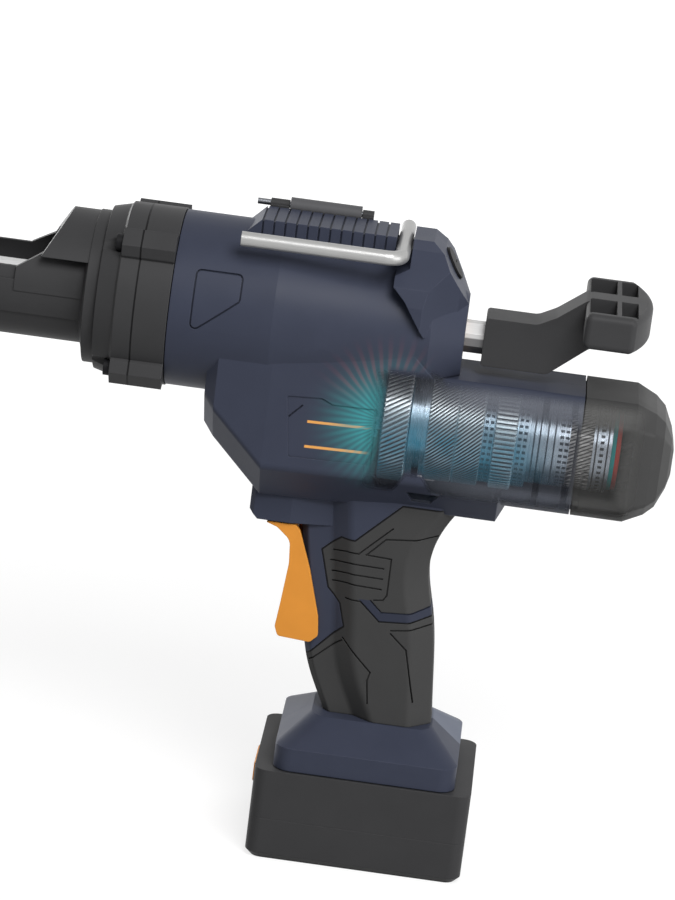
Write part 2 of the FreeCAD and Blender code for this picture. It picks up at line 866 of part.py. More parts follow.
def push_rod():
    corners = [math.radians(22.5 + 45 * k) for k in range(8)]
    octagon = [(S.rod_radius * math.cos(corner), S.rod_radius * math.sin(corner)) for corner in corners]
    bar = across(octagon, -S.rod_front, S.rod_back)
    pitch = math.pi * S.rack_module
    tip, root = TIP * S.rack_module, ROOT * S.rack_module
    mesh = gear_shafts()[1][0]
    comb = []
    for k in range(int(S.rack_teeth)):
        middle = mesh + (k - S.rack_teeth + RACK_BEHIND) * pitch
        for flank, rise in ((-1, -root), (-1, tip), (1, tip), (1, -root)):
            comb.append((middle + flank * tooth_half(S.rack_module, rise), -S.rack_drop - rise))
    low = -S.rod_radius - 2
    gaps = side([(comb[0][0] - 2, low), (comb[0][0] - 2, comb[0][1])] + comb
                + [(comb[-1][0] + 2, comb[-1][1]), (comb[-1][0] + 2, low)], S.rod_radius + 2)
    flats = rod_x(4 + S.pin_gap, -S.rod_front - 1, 16 - S.rod_front)
    pin = rod_y(2, -20, 20, S.handle_front + 8, 0)
    return bar.cut([gaps, flats, pin])


def plunger():
    back = -S.rod_front
    rim = S.plunger_radius
    return turned([
        (back, 4 + S.pin_gap), (back, 10), (back - 4, 10), (back - 4, rim - 4), (back - 2, rim - 3),
        (back - 2, rim), (back - 8, rim), (back - 9, rim - 1), (back - 9, 4 + S.pin_gap),
    ])


def handle():
    half = S.handle_half
    front = S.handle_front
    stem = side([
        (front, -10.4), (front + 30, -10.4), (front + 46, 3), (front + 56, 10), (front + 56, 26),
        (front + 44, 26), (front + 31, 16), (front + 23, 11.8), (front, 11.8),
    ], half, [1.5, 4, 4, 2, 2, 3, 8, 8, 1.5])
    bar_front = front + 41.5
    bar_low, bar_rise = 10.2, 16.3
    ends = [Vector(bar_front + 2, -S.bar_half, bar_low), Vector(bar_front + 24, -S.bar_half, bar_low)]
    peak = Vector(bar_front + 32, 0, bar_low)
    far = [Vector(point.x, -point.y, point.z) for point in reversed(ends)]
    outline = Part.Wire([
        Part.makeLine(ends[0], ends[1]), Part.Arc(ends[1], peak, far[0]).toShape(),
        Part.makeLine(far[0], far[1]), Part.makeLine(far[1], ends[0]),
    ])
    paddle = Part.Face(outline).extrude(Vector(0, 0, bar_rise))
    paddle = paddle.makeFillet(3, paddle.Edges)
    pockets = []
    for start, end in ((bar_front + 3.5, bar_front + 15.5), (bar_front + 17.5, bar_front + 25)):
        for low, high in ((5 - S.bar_half, -6), (6, S.bar_half - 5)):
            pockets.append(block((start, end), (low, high), (bar_low + 7.3, bar_low + 20)))
    bore = rod_x(S.rod_radius + S.pin_gap, front - 1, S.rod_back + 0.2)
    pin = rod_y(2, 0, 20, front + 8, 0)
    return stem.fuse(paddle).cut(pockets + [bore, pin])


feature("push_rod", push_rod())
feature("plunger_disc", plunger())
feature("plunger_screw", screw(14, 4, Vector(-S.rod_front - 9, 0, 0), Vector(1, 0, 0)))
feature("pull_handle", handle())
node(cylinder("handle_pin", "2", "handle_half + 6", ("handle_front + 8", "-6.5", "0"), "y"), "handle_pin")
set_of("rod_bushes", [
    ring("front_bush", "rod_radius + 3", "rod_radius + pin_gap", "-spigot_front", "spigot_front + wall"),
    ring("rear_bush", "rod_radius + 3", "rod_radius + pin_gap", "block_back - 3 * wall", "3 * wall"),
])


# Hook, release lever and dial

def hook():
    half, rise, bend = S.hook_half, S.hook_rise, S.hook_bend
    bar = S.hook_bar
    lean = bend * (1 - math.sqrt(0.5))
    near = [Vector(S.hook_front, -half, rise), Vector(bar - bend, -half, rise),
            Vector(bar - lean, lean - half, rise), Vector(bar, bend - half, rise)]
    tip = Vector(bar, S.hook_end, rise)
    path = Part.Wire([
        Part.makeLine(near[0], near[1]), Part.Arc(near[1], near[2], near[3]).toShape(),
        Part.makeLine(near[3], tip),
    ])
    profile = Part.Wire(Part.makeCircle(S.hook_radius, near[0], Vector(1, 0, 0)))
    return path.makePipeShell([profile], True, False).fuse(Part.makeSphere(S.hook_radius, tip))


def lever_bracket():
    y, z, radius = S.lever_offset, S.lever_rise, S.lever_radius - 1.4
    plate = block((36, 83), (S.tower_half, S.tower_half + 1.6), (37.5, S.tower_top - 2.6))
    lugs = []
    for start, end in ((36, 44.6), (77.8, 83)):
        lugs.append(rod_x(radius, start, end, y, z))
        lugs.append(block((start, end), (S.tower_half + 0.8, y + 1), (z - 6, z)))
    return plate.fuse(lugs).cut(rod_x(1.4, 30, 90, y, z))


def release_lever():
    y, z = S.lever_offset, S.lever_rise
    barrel_bar = rod_x(S.lever_radius, 45, 77.4, y, z)
    paddle = block((45, 77.4), (y + 1.4, y + S.lever_radius), (z - 9.5, z))
    return barrel_bar.fuse(paddle).cut(rod_x(1.4 + S.pin_gap, 30, 90, y, z))


def dial():
    centre, normal = dial_place()
    knob = on_slope(S.dial_radius, -3, S.dial_height - 3)
    mark = Part.makeBox(0.8, S.dial_radius, 1, Vector(-0.4, 0, -0.6))
    mark.Placement = Placement(centre + normal * (S.dial_height - 3), Rotation(Vector(0, 0, 1), normal))
    return knob.fuse(on_slope(2.5, -9, -3)).cut(mark)


feature("hang_hook", hook())
feature("lever_bracket", lever_bracket())
feature("release_lever", release_lever())
feature("speed_dial", dial())
feature("dial_potentiometer", on_slope(6, -13.5, -4.9).cut(on_slope(2.5 + S.pin_gap, -10, 0)))


# Trigger, switch and board

def trigger():
    pivot, drop = S.trigger_pivot, S.trigger_pivot_drop
    wall = S.trigger_wall
    top = -S.trigger_block_drop - 0.9
    shell = side([
        (51.5, top), (58, top - 2.2), (64.5, -103), (65.3, -114), (63.5, -134), (62.3, -145),
        (64, -149.5), (79, -150.5), (82.5, -147), (81.5, -138), (75, -115.5), (68.5, -98), (66, top),
    ], S.trigger_half, [0.3, 4, 6, 10, 20, 2, 2, 2, 2, 4, 20, 3, 1])
    hollow = side([
        (64.2 + wall, top - wall), (64.7 + wall, -104), (65 + wall, -114), (63.8 + wall, -134),
        (62.8 + wall, -147), (66, -147), (66, -160), (99, -160), (99, top + 1), (67, top + 1), (67, top - wall),
    ], S.trigger_half - wall)
    arm = block((pivot - 4.5, pivot + 4.5), (-5, 5), (top - 1, -drop)).fuse(rod_y(4.5, -5, 5, pivot, -drop))
    return shell.cut(hollow).fuse(arm).cut(rod_y(2 + S.pin_gap, -20, 20, pivot, -drop))


feature("trigger", trigger())
set_of("hinge_pins", [
    cylinder("lever_pin", "1.4", "53", ("30", "lever_offset", "lever_rise")),
    cylinder("trigger_pin", "2", "28", ("trigger_pivot", "-14", "-trigger_pivot_drop"), "y"),
])
switch_case = box("switch_case", "18", "16", "26", ("97", "-8", "-129"))
switch_bore = cylinder("switch_bore", "3 + run_gap", "8", ("96", "0", "-116"))
node(cut("switch_body", switch_case, switch_bore), "trigger_switch")
node(cylinder("switch_plunger", "3", "30", ("68.3", "0", "-116")), "switch_plunger")
node(box("control_board", "1.6", "2 * (grip_half - wall - skin) - 0.4", "22",
         ("118", "-(grip_half - wall - skin) + 0.2", "-180")), "control_board")


# Cross shafts and their gears

def gear_outline(teeth, module, phase, inward=False):
    """Polygon of straight-flanked teeth with one tooth at the phase angle."""
    pitch = teeth * module / 2
    turn = -1 if inward else 1
    points = []
    for k in range(int(teeth)):
        middle = phase + 2 * math.pi * k / teeth
        for flank, rise in ((-1, -ROOT * module), (-1, TIP * module), (1, TIP * module), (1, -ROOT * module)):
            radius = pitch + turn * rise
            angle = middle + flank * tooth_half(module, rise) / radius
            points.append((radius * math.cos(angle), radius * math.sin(angle)))
    return points


def at_place(place, y):
    """Expression texts of a point on a cross shaft."""
    return (str(place[0]), str(y), str(place[1]))


lay_place, pinion_place = gear_shafts()
lay_aim = math.atan2(pinion_place[1] - lay_place[1], pinion_place[0] - lay_place[0])
wheel_phase = lay_aim + math.pi + math.pi / S.wheel_teeth
pinion_phase = math.pi / 2 + math.pi / S.pinion_teeth
pad_body("rack_pinion", "XZ_Plane", gear_outline(S.pinion_teeth, S.rack_module, pinion_phase), "14",
         at_place(pinion_place, 7), "shaft_radius")
pad_body("pinion_wheel", "XZ_Plane", gear_outline(S.wheel_teeth, S.lay_module, wheel_phase), "7",
         at_place(pinion_place, -9), "shaft_radius")
pad_body("lay_gear", "XZ_Plane", gear_outline(S.lay_teeth, S.lay_module, lay_aim), "7",
         at_place(lay_place, -9), "shaft_radius")
shaft_bushes = []
for name, place, ends in (("pinion", pinion_place, SHAFT_ENDS["pinion"]), ("lay", lay_place, SHAFT_ENDS["lay"])):
    node(cylinder(name + "_shaft", "shaft_radius", str(ends[1] - ends[0] - 0.4),
                  at_place(place, ends[0] + 0.2), "y"), name + "_shaft")
    for word, start in (("left", ends[0]), ("right", ends[1] - 5)):
        shaft_bushes.append(ring(f"{name}_bush_{word}", "shaft_radius + 2", "shaft_radius + pin_gap",
                                 str(start), "5", str(-place[1]), "y", str(place[0])))
set_of("shaft_bushes", shaft_bushes)


def bevel(phase):
    """Bevel gear on the x axis with its cone apex at the origin."""
    module = 2 * S.bevel_radius / S.bevel_teeth
    outline = gear_outline(S.bevel_teeth, module, phase)
    wires = []
    for reach in (S.bevel_inner, S.bevel_radius):
        scale = reach / S.bevel_radius
        wires.append(polygon([Vector(reach, a * scale, b * scale) for a, b in outline]))
    return Part.makeLoft(wires, True, True)


def bevel_pinion():
    teeth = bevel(0)
    hub = rod_x(S.bevel_radius - 5, S.bevel_radius, S.drum_web - S.bevel_apex)
    gear = teeth.fuse(hub).cut(rod_x(S.output_radius, 0, 40))
    gear.translate(Vector(S.bevel_apex, 0, -S.motor_drop))
    return gear


def bevel_gear():
    teeth = bevel(math.pi / S.bevel_teeth)
    hub = rod_x(S.bevel_radius - 6, S.bevel_radius - 1, 23.6)
    gear = teeth.fuse(hub).cut(rod_x(S.shaft_radius + S.pin_gap, 0, 40))
    gear.rotate(Vector(), Vector(0, 0, 1), 90)
    gear.translate(Vector(S.bevel_apex, 0, -S.motor_drop))
    return gear


feature("bevel_pinion", bevel_pinion())
feature("bevel_gear", bevel_gear())


# Planetary stages

def on_motor_axis(x):
    return (x, "0", "-motor_drop")


def ribbed_ring(start, end, bore, twist, size):
    """Ring with ribs round its outside, leaning by the twist over its length."""
    ribs = 40
    outline = []
    for k in range(ribs):
        for share, rise in ((0, 0), (0.3, S.ring_rib), (0.55, S.ring_rib), (0.85, 0)):
            angle = 2 * math.pi * (k + share) / ribs
            reach = size + rise
            outline.append((reach * math.cos(angle), reach * math.sin(angle)))
    wires = []
    for x, turn in ((start, 0), (end, twist)):
        wire = polygon([Vector(x, a, b) for a, b in outline])
        wire.rotate(Vector(), Vector(1, 0, 0), turn)
        wire.translate(Vector(0, 0, -S.motor_drop))
        wires.append(wire)
    return Part.makeLoft(wires, True, True).cut(bore)


def ring_bore(start, end):
    """Inward-toothed opening of a ring gear."""
    outline = gear_outline(S.ring_teeth, S.stage_module, 0, True)
    face = Part.Face(polygon([Vector(start - 1, a, b - S.motor_drop) for a, b in outline]))
    return face.extrude(Vector(end - start + 2, 0, 0))


for label, start, end, twist in (("ring_gear_1", S.stage_one, S.mount_front, 0),
                                 ("ring_gear_2", S.stage_two, S.spacer_front, 14)):
    feature(label, ribbed_ring(start, end, ring_bore(start, end), twist, S.ring_radius))
bearing_room = rod_x(11, S.bearing_front - 1, S.stage_two + 1, 0, -S.motor_drop).fuse(
    rod_x(17, S.stage_two - 5, S.stage_two + 1, 0, -S.motor_drop))
feature("bearing_carrier", ribbed_ring(S.bearing_front, S.stage_two, bearing_room, 14, S.ring_radius))
drum_back = S.plate_front - 0.5
drum_bore = rod_x(S.output_radius, S.drum_front - 1, S.plate_front, 0, -S.motor_drop).fuse(
    rod_x(S.bevel_radius + 4, S.drum_front - 1, S.drum_web, 0, -S.motor_drop))
feature("clutch_drum", ribbed_ring(S.drum_front, drum_back, drum_bore, 12, S.drum_radius))
node(ring("gearbox_plate", "ring_radius", "output_radius + run_gap", "plate_front",
          "bearing_front - plate_front", "motor_drop"), "gearbox_plate")
set_of("gearbox_spacers", [
    ring("stage_spacer", "ring_radius - 1", "17", "spacer_front", "stage_one - spacer_front", "motor_drop"),
    ring("motor_plate", "ring_radius - 1", "5 + fit_gap", "mount_front", "motor_front - mount_front",
         "motor_drop"),
])


def carrier(label, start, plate, pins_end, front_shape):
    """Planet carrier: plate, three pins and whatever stands in front of it."""
    reach = S.stage_module * (S.sun_teeth + S.planet_teeth) / 2
    shape = rod_x(16, start, start + plate, 0, -S.motor_drop)
    pins = []
    for k in range(3):
        angle = 2 * math.pi * k / 3
        y, z = reach * math.cos(angle), reach * math.sin(angle) - S.motor_drop
        pins.append(rod_x(S.planet_pin, start + plate, pins_end, y, z))
    return feature(label, shape.fuse(pins + [front_shape]))


def planets(label, start, end):
    """Three planet gears of one stage."""
    reach = S.stage_module * (S.sun_teeth + S.planet_teeth) / 2
    outline = gear_outline(S.planet_teeth, S.stage_module, math.pi / S.planet_teeth)
    for k in range(3):
        angle = 2 * math.pi * k / 3
        y, z = reach * math.cos(angle), reach * math.sin(angle)
        pad_body(f"{label}_{k + 1}", "YZ_Plane", outline, f"({end}) - ({start})",
                 (start, str(y), f"-motor_drop + ({z})"), "planet_pin + pin_gap")


def sun(start, end):
    outline = gear_outline(S.sun_teeth, S.stage_module, 0)
    face = Part.Face(polygon([Vector(start, a, b - S.motor_drop) for a, b in outline]))
    return face.extrude(Vector(end - start, 0, 0))


output_end = S.bevel_apex + S.bevel_inner
carrier("carrier_2", S.stage_two - 4, 4, S.spacer_front - 1,
        rod_x(S.output_radius, output_end, S.stage_two - 4, 0, -S.motor_drop))
carrier("carrier_1", S.spacer_front + 0.5, 4, S.mount_front - 0.5, sun(S.stage_two + 0.8, S.spacer_front + 0.5))
planets("planet_1", "stage_one + 0.3", "mount_front - 0.7")
planets("planet_2", "stage_two + 0.5", "spacer_front - 0.7")


# Motor

def motor_shaft():
    """Shaft of the motor with the first sun gear cut on its nose."""
    gear = sun(S.stage_one + 0.3, S.mount_front - 0.7)
    return gear.fuse(rod_x(S.motor_shaft, S.stage_one + 0.3, S.cap_back - 12, 0, -S.motor_drop))


feature("motor_shaft", motor_shaft())
set_of("drive_bearings", [
    ring("output_bearing", "11", "output_radius + pin_gap", "bearing_front", "stage_two - bearing_front - 5",
         "motor_drop"),
    ring("motor_bearing", "5", "motor_shaft + pin_gap", "mount_front + 1", "motor_front - mount_front - 1",
         "motor_drop"),
    ring("end_bearing", "8", "motor_shaft + pin_gap", "motor_back + 11", "4", "motor_drop"),
])
set_of("motor_bells", [
    ring("front_bell", "motor_radius", "motor_radius - 3", "motor_front", "stack_front - motor_front",
         "motor_drop"),
    ring("rear_bell", "motor_radius", "motor_radius - 3", "stack_back", "motor_back - stack_back", "motor_drop"),
])


def stator():
    ribs = 36
    outline = []
    for k in range(ribs):
        for share, radius in ((0, 0), (0.5, 0), (0.55, -1), (0.95, -1)):
            angle = 2 * math.pi * (k + share) / ribs
            reach = S.motor_radius + radius
            outline.append((reach * math.cos(angle), reach * math.sin(angle)))
    wires = []
    for x, turn in ((S.stack_front, 0), (S.stack_back, -16)):
        wire = polygon([Vector(x, a, b) for a, b in outline])
        wire.rotate(Vector(), Vector(1, 0, 0), turn)
        wire.translate(Vector(0, 0, -S.motor_drop))
        wires.append(wire)
    bore = rod_x(S.motor_radius - 5, S.stack_front - 1, S.stack_back + 1, 0, -S.motor_drop)
    return Part.makeLoft(wires, True, True).cut(bore)


def fan():
    start = S.motor_back + 4.5
    hub = rod_x(7, start, start + 5.5, 0, -S.motor_drop)
    blades = []
    for k in range(11):
        blade = block((start, start + 5.5), (-0.7, 0.7), (5, S.fan_radius))
        blade.rotate(Vector(start + 2.7, 0, 0), Vector(0, 0, 1), 28)
        blade.rotate(Vector(), Vector(1, 0, 0), 360 * k / 11)
        blade.translate(Vector(0, 0, -S.motor_drop))
        blades.append(blade)
    room = block((start, start + 5.5), (-30, 30), (-80, 0))
    return hub.fuse(blades).common(room).cut(rod_x(S.motor_shaft, 0, 300, 0, -S.motor_drop))


feature("stator_stack", stator())
node(ring("rotor_core", "motor_radius - 5 - run_gap", "motor_shaft", "motor_front + 3",
          "motor_back - motor_front - 6", "motor_drop"), "rotor_core")
set_of("brush_rings", [
    ring("sensor_ring", "motor_radius - 1.5", "6", "motor_back", "2", "motor_drop"),
    ring("brush_ring", "motor_radius - 2", "6", "motor_back + 2", "2", "motor_drop"),
])
feature("cooling_fan", fan())


def end_cap_form(inset):
    seam = S.tube_back + S.cap_seam
    shoulder, back = S.cap_shoulder, S.cap_back
    steps = [(seam, 0), (shoulder, 0), (shoulder + 9, 4), (back - 5.5, 7.8), (back - 1.5, 16), (back, 21.5)]
    if inset:
        steps = [(seam - 1, 0), (shoulder, 0), (shoulder + 8.5, 4), (back - 7.5, 7.8), (back - inset - 1, 16)]
    return Part.makeLoft([tube_section(x, inset, shrink) for x, shrink in steps], True, True)


def cap_lip():
    """Lip that reaches into the motor tube behind the seam."""
    start, end = S.tube_back - 1.6, S.tube_back + S.cap_seam + 3
    outer = tube_length(S.tube_wall + S.fit_gap, start, end)
    return outer.cut(tube_length(S.tube_wall + S.fit_gap + 1.6, start - 1, end + 1))


def cap_mark():
    """Six-sided line on the cap's left face."""
    middle = -12.8 - S.motor_drop
    points = [(192, 0), (195, 3.4), (203.5, 3.4), (206.5, 0), (203.5, -3.4), (195, -3.4)]
    outline = [(x, middle + z) for x, z in points]
    return loop(outline, 0.6, 0.6, -S.tube_half - 1, 0.5 - S.tube_half)


def end_cap():
    drop = -S.motor_drop
    shell = end_cap_form(0).cut(end_cap_form(S.cap_wall))
    cup = rod_x(11, S.motor_back + 10.5, S.cap_back - 1.7, 0, drop)
    cup = cup.cut(rod_x(8 + S.fit_gap, S.motor_back + 10, S.motor_back + 15, 0, drop))
    cup = cup.cut(rod_x(S.motor_shaft + S.run_gap, S.motor_back, S.cap_back - S.cap_wall, 0, drop))
    slots = []
    for k in range(-2, 3):
        slots.append(block((S.cap_back - 12, S.cap_back + 1), (k * 5 - 1.2, k * 5 + 1.2), (drop - 30, drop - 13)))
    return shell.fuse([cup, cap_lip()]).cut(slots + [cap_mark()])


feature("motor_end_cap", end_cap())


# Battery pack

def pack_form(inset, top):
    base = S.axis_height - inset
    half = S.pack_half - inset
    length = S.pack_length - 2 * inset
    return Part.makeLoft([
        foot_wire(length - 5, half - 2.5, base, 5),
        foot_wire(length, half, base - 3, 6),
        foot_wire(length, half, top, 6),
    ], True, True)


def battery():
    base = S.foot_drop
    top = base + S.run_gap
    split = (S.axis_height + base) / 2 + 2
    case = pack_form(0, top).cut(pack_form(2.5, top + 2.5))
    start = S.foot_centre - S.foot_length / 2 + 2
    end = start + S.foot_length - 8
    rails = block((start, end), (-S.rail_neck, S.rail_neck), (-top - 1, 2.7 - base))
    rails = rails.fuse(block((start, end), (-S.rail_half, S.rail_half), (2.7 - base, 6 - base)))
    cut_plane = block((-20, 260), (-60, 60), (-split, 0))
    nose = S.foot_centre - S.pack_length / 2
    button_hole = block((nose - 1, nose + 8), (-12.3, 12.3), (-base - 17.3, -base - 6.7))
    upper = case.common(cut_plane).fuse(rails).cut(button_hole)
    feature("battery_top", upper)
    feature("battery_tray", case.cut(cut_plane))
    button = block((nose - 1.5, nose + 7), (-12, 12), (-base - 17, -base - 7))
    feature("battery_button", button.makeFillet(1.2, button.Edges))
    cells = []
    pitch = 2 * S.cell_radius + 0.4
    for k in range(int(S.cell_count)):
        x = S.foot_centre + (k - (S.cell_count - 1) / 2) * pitch
        cells.append(rod_y(S.cell_radius, -S.cell_length / 2, S.cell_length / 2, x, 2.7 + S.cell_radius - S.axis_height))
    feature("battery_cells", Part.makeCompound(cells))


battery()


# Housing screws

def housing_screws():
    screws = [screw(21, 1.6, Vector(x, 12, z), Vector(0, -1, 0)) for x, z in screw_places()]
    return Part.makeCompound(screws)


feature("housing_screws", housing_screws())


doc.recompute()
for obj in doc.Objects:
    if "Invalid" in obj.State or "Error" in obj.State:
        raise RuntimeError(f"{obj.Label} did not recompute")
os.makedirs("parts", exist_ok=True)
for obj in PARTS:
    if obj.Shape.isNull() or not obj.Shape.isValid():
        raise RuntimeError(f"{obj.Label} has a faulty shape")
    obj.Shape.exportStep(f"parts/{obj.Label}.step")
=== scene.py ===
import math

import bmesh
import bpy
from mathutils import Matrix, Vector


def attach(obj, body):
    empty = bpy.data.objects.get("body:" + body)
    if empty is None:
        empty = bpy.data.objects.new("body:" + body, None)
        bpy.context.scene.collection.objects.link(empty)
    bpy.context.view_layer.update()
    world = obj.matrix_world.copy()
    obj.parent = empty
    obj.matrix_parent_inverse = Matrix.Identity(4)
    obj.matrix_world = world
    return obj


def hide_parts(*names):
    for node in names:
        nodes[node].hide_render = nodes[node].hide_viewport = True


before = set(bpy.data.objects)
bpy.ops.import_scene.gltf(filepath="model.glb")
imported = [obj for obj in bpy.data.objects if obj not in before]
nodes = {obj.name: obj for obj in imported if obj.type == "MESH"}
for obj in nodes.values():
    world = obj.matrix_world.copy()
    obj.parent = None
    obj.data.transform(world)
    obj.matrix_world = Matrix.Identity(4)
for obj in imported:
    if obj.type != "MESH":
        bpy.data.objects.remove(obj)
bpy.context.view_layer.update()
scene = bpy.context.scene

# Places are in mm: behind the collar, across the tool, and over the rod axis
MM = 0.001
AXIS_HEIGHT = 250
FOOT_CENTRE = 112
MOTOR_AXIS = -43.7
TUBE_HALF = 31
PLASTIC_GLOSS = 0.1
STEEL_GRAIN = 0.4
LINE_SOFTNESS = 0.15


def place(x, y, z):
    """Point of the frame in metres."""
    return Vector((x - FOOT_CENTRE, y, z + AXIS_HEIGHT)) * MM


def colour(red, green, blue):
    """Linear colour from 0-255 screen values."""
    def linear(value):
        value /= 255
        return value / 12.92 if value <= 0.04045 else ((value + 0.055) / 1.055) ** 2.4
    return (linear(red), linear(green), linear(blue), 1)


class Finish:
    """One material, with short calls for building its nodes. Its places are in mm, as in place()."""

    def __init__(self, name, roughness, metallic=0.0):
        self.material = bpy.data.materials.new(name)
        self.material.use_nodes = True
        self.tree = self.material.node_tree
        self.shader = self.tree.nodes["Principled BSDF"]
        self.output = self.tree.nodes["Material Output"]
        self.surface = self.shader.outputs[0]
        frame_coords = self.tree.nodes.new("ShaderNodeTexCoord").outputs["Object"]
        origin = (FOOT_CENTRE, 0, -AXIS_HEIGHT)
        self.coords = self.vector("MULTIPLY_ADD", frame_coords, (1 / MM,) * 3, origin)
        self.x, self.y, self.z = self.add("ShaderNodeSeparateXYZ", (self.coords,)).outputs
        self.set("Roughness", roughness)
        self.set("Metallic", metallic)
        self.height = self.math("SUBTRACT", self.z, MOTOR_AXIS)

    def add(self, kind, inputs=(), **settings):
        node = self.tree.nodes.new(kind)
        for key, value in settings.items():
            setattr(node, key, value)
        for socket, value in zip(node.inputs, inputs):
            self.put(socket, value)
        return node

    def put(self, socket, value):
        if isinstance(value, bpy.types.NodeSocket):
            self.tree.links.new(value, socket)
        elif value is not None:
            socket.default_value = value

    def set(self, name, value):
        self.put(self.shader.inputs[name], value)

    def math(self, operation, a, b=None, c=None):
        return self.add("ShaderNodeMath", (a, b, c), operation=operation).outputs[0]

    def vector(self, operation, a, b=None, c=None):
        node = self.add("ShaderNodeVectorMath", (a, b, c), operation=operation)
        return node.outputs["Value" if operation in ("DOT_PRODUCT", "LENGTH") else "Vector"]

    def ramp(self, value, start, end):
        """Smooth step from 0 at start to 1 at end."""
        node = self.add("ShaderNodeMapRange", interpolation_type="SMOOTHSTEP")
        for name, number in (("Value", value), ("From Min", start), ("From Max", end)):
            self.put(node.inputs[name], number)
        return node.outputs["Result"]

    def between(self, value, low, high):
        """1 between two limits."""
        rise = self.ramp(value, low - LINE_SOFTNESS, low + LINE_SOFTNESS)
        fall = self.ramp(value, high + LINE_SOFTNESS, high - LINE_SOFTNESS)
        return self.both(rise, fall)

    def bands(self, places, half):
        """1 in bands across the tool at places behind the collar."""
        return self.either(*[self.between(self.x, x - half, x + half) for x in places])

    def spots(self, count):
        """1 in evenly spaced spots round the motor axis."""
        angle = self.math("ARCTAN2", self.height, self.y)
        return self.ramp(self.math("SINE", self.math("MULTIPLY", angle, count)), 0, 0.3)

    def both(self, *values):
        result = values[0]
        for value in values[1:]:
            result = self.math("MULTIPLY", result, value)
        return result

    def either(self, *values):
        result = values[0]
        for value in values[1:]:
            result = self.math("MAXIMUM", result, value)
        return result

    def line(self, slope, x, z):
        """Height at each x of a straight line through a point."""
        return self.math("MULTIPLY_ADD", self.x, slope, z - slope * x)

    def off_line(self, points):
        """Distance from a line through points, each behind the collar and over the rod axis."""
        here = self.vector("MULTIPLY", self.coords, (1, 0, 1))
        nearest = None
        for (x, z), (next_x, next_z) in zip(points, points[1:]):
            step = Vector((next_x - x, 0, next_z - z))
            away = self.vector("SUBTRACT", here, (x, 0, z))
            share = self.vector("DOT_PRODUCT", away, step / step.length_squared)
            share = self.math("MINIMUM", self.math("MAXIMUM", share, 0), 1)
            spread = self.add("ShaderNodeCombineXYZ", (share,) * 3).outputs[0]
            foot = self.vector("MULTIPLY", spread, step)
            distance = self.vector("LENGTH", self.vector("SUBTRACT", away, foot))
            nearest = distance if nearest is None else self.math("MINIMUM", nearest, distance)
        return nearest

    def mix(self, share, a, b):
        node = self.add("ShaderNodeMix", data_type="RGBA")
        for socket, value in zip((node.inputs[0], node.inputs[6], node.inputs[7]), (share, a, b)):
            self.put(socket, value)
        return node.outputs[2]

    def noise(self, size, detail=2, stretch=(1, 1, 1)):
        """Noise with features of about the given size in mm."""
        coords = self.vector("MULTIPLY", self.coords, tuple(part / size for part in stretch))
        node = self.add("ShaderNodeTexNoise")
        for name, value in (("Vector", coords), ("Scale", 1), ("Detail", detail)):
            self.put(node.inputs[name], value)
        return node.outputs["Fac"]

    def hollow(self, reach, alone=False):
        """1 on open faces, falling toward 0 in grooves and corners. Alone leaves its neighbours out."""
        node = self.add("ShaderNodeAmbientOcclusion", samples=6, only_local=alone)
        self.put(node.inputs["Distance"], reach * MM)
        return node.outputs["AO"]

    def skin(self, edge, height, depth):
        """Rounded edges with a fine surface texture. Returns a mask of the edges."""
        soft = self.add("ShaderNodeBevel", (edge * MM,), samples=4).outputs[0]
        bump = self.add("ShaderNodeBump")
        inputs = (("Strength", 1.0), ("Distance", depth * MM), ("Height", height), ("Normal", soft))
        for name, value in inputs:
            self.put(bump.inputs[name], value)
        self.set("Normal", bump.outputs["Normal"])
        flat = self.add("ShaderNodeNewGeometry").outputs["Normal"]
        return self.ramp(self.vector("DOT_PRODUCT", soft, flat), 0.99, 0.8)

    def end(self):
        self.tree.links.new(self.surface, self.output.inputs["Surface"])
        return self.material


def tone(base, share):
    """The colour made lighter or darker."""
    return tuple(min(1, part * share) for part in base[:3]) + (1,)


# Finishes

def moulded(name, base, roughness, grain=0.55, depth=0.012):
    """Moulded plastic: fine spark texture, cloudy sheen, painted shade in grooves and corners, and
    slightly rubbed edges.
    """
    made = Finish(name, roughness)
    made.set("Specular IOR Level", PLASTIC_GLOSS)
    edges = made.skin(0.5, made.noise(grain, 3), depth)
    clouds = made.noise(14, 3)
    body = made.mix(clouds, tone(base, 0.92), tone(base, 1.08))
    body = made.mix(made.both(edges, made.noise(3, 4), 0.6), body, tone(base, 2.2))
    # Painted shade: the colour goes darker in grooves and corners, where ambient occlusion finds them.
    open_face = made.ramp(made.hollow(1.4), 0.25, 0.8)
    made.colour = made.mix(open_face, tone(base, 0.3), body)
    made.set("Base Color", made.colour)
    sheen = made.math("MULTIPLY_ADD", clouds, 0.14, roughness - 0.07)
    made.set("Roughness", sheen)
    return made


def repaint(made, share, paint):
    """Another colour over part of a finish."""
    made.colour = made.mix(share, made.colour, paint)
    made.set("Base Color", made.colour)


def metal(name, base, roughness, metallic=1.0, stretch=(1, 1, 1)):
    """Worked steel: fine tool marks along the stretch, painted shade in the recesses."""
    made = Finish(name, roughness, metallic)
    marks = made.noise(STEEL_GRAIN, 3, stretch)
    made.skin(0.25, marks, 0.004)
    # Painted shade: the colour goes nearly black in the piece's own recesses.
    made.open_face = made.ramp(made.hollow(2.5, True), 0.2, 0.85)
    body = made.mix(marks, tone(base, 0.88), tone(base, 1.06))
    made.colour = made.mix(made.open_face, tone(base, 0.06), body)
    made.set("Base Color", made.colour)
    made.set("Roughness", made.math("MULTIPLY_ADD", marks, 0.2, roughness - 0.1))
    return made


# Pairs of places below are fades, from none to full

